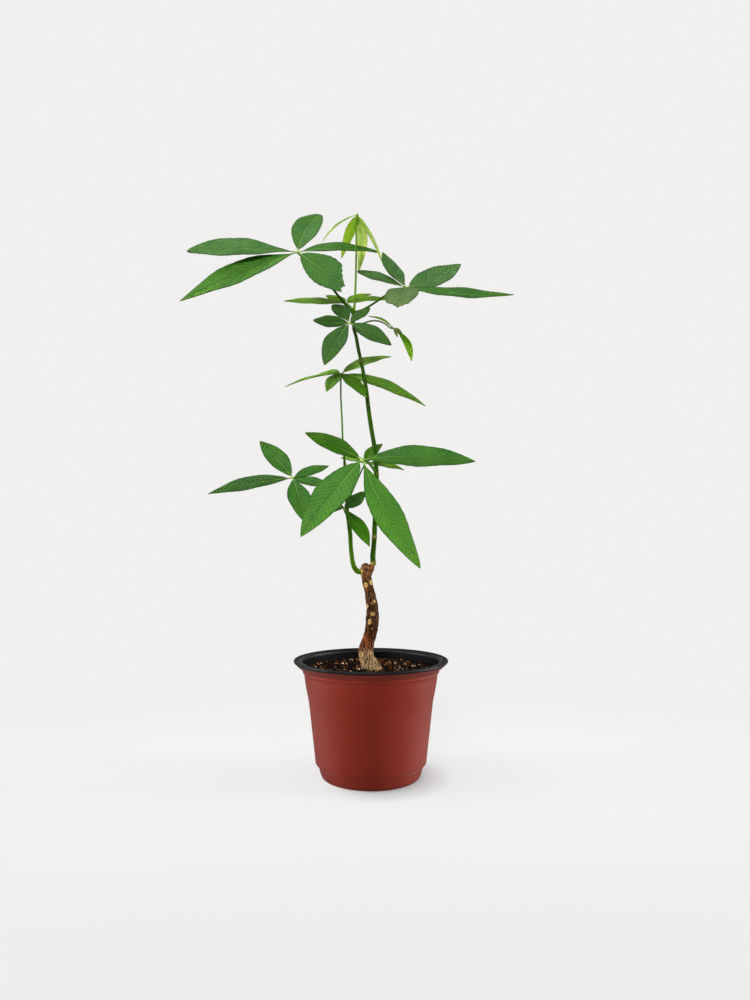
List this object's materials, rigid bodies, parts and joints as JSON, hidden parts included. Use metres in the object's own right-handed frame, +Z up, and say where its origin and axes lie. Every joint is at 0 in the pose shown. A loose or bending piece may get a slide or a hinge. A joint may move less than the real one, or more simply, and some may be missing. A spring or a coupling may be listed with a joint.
{
  "type": "potted money tree",
  "caption": "Young money tree with hand-shaped leaves on two green shoots from a short woody trunk, in a round tapered nursery pot filled with soil.",
  "frame": {"origin": "centre of the pot's flat underside, on the surface that the pot stands on", "axes": "+Z up along the pot's axis, -Y towards the side that the picture shows, +X to the right as seen from there"},
  "size_m": [0.2783, 0.1354, 0.4963],
  "materials": {
    "pot_plastic": "matt thermoformed, red outside and black inside and on the rim",
    "soil": "rough, granular",
    "bark": "rough bark with pale leaf scars",
    "green_stem": "smooth green skin with tan node rings",
    "leaf_green": "satin leaf with pale veins",
    "leaf_young": "thin pale yellow-green leaf",
    "leaf_dark": "satin dark green leaf with pale veins"
  },
  "bodies": {
    "root": {"pot": "pot_plastic", "soil": "soil", "trunk": "bark", "stem_main": "green_stem", "stem_side": "green_stem", "leaf_top_left": "leaf_green", "leaf_top": "leaf_young", "leaf_top_right": "leaf_green", "leaf_middle": "leaf_dark", "leaf_behind": "leaf_young", "leaf_wilting": "leaf_young", "leaf_side_top": "leaf_green", "leaf_front": "leaf_green", "leaf_inner": "leaf_green", "leaf_left": "leaf_green", "leaf_low": "leaf_green"}
  },
  "joints": []
}
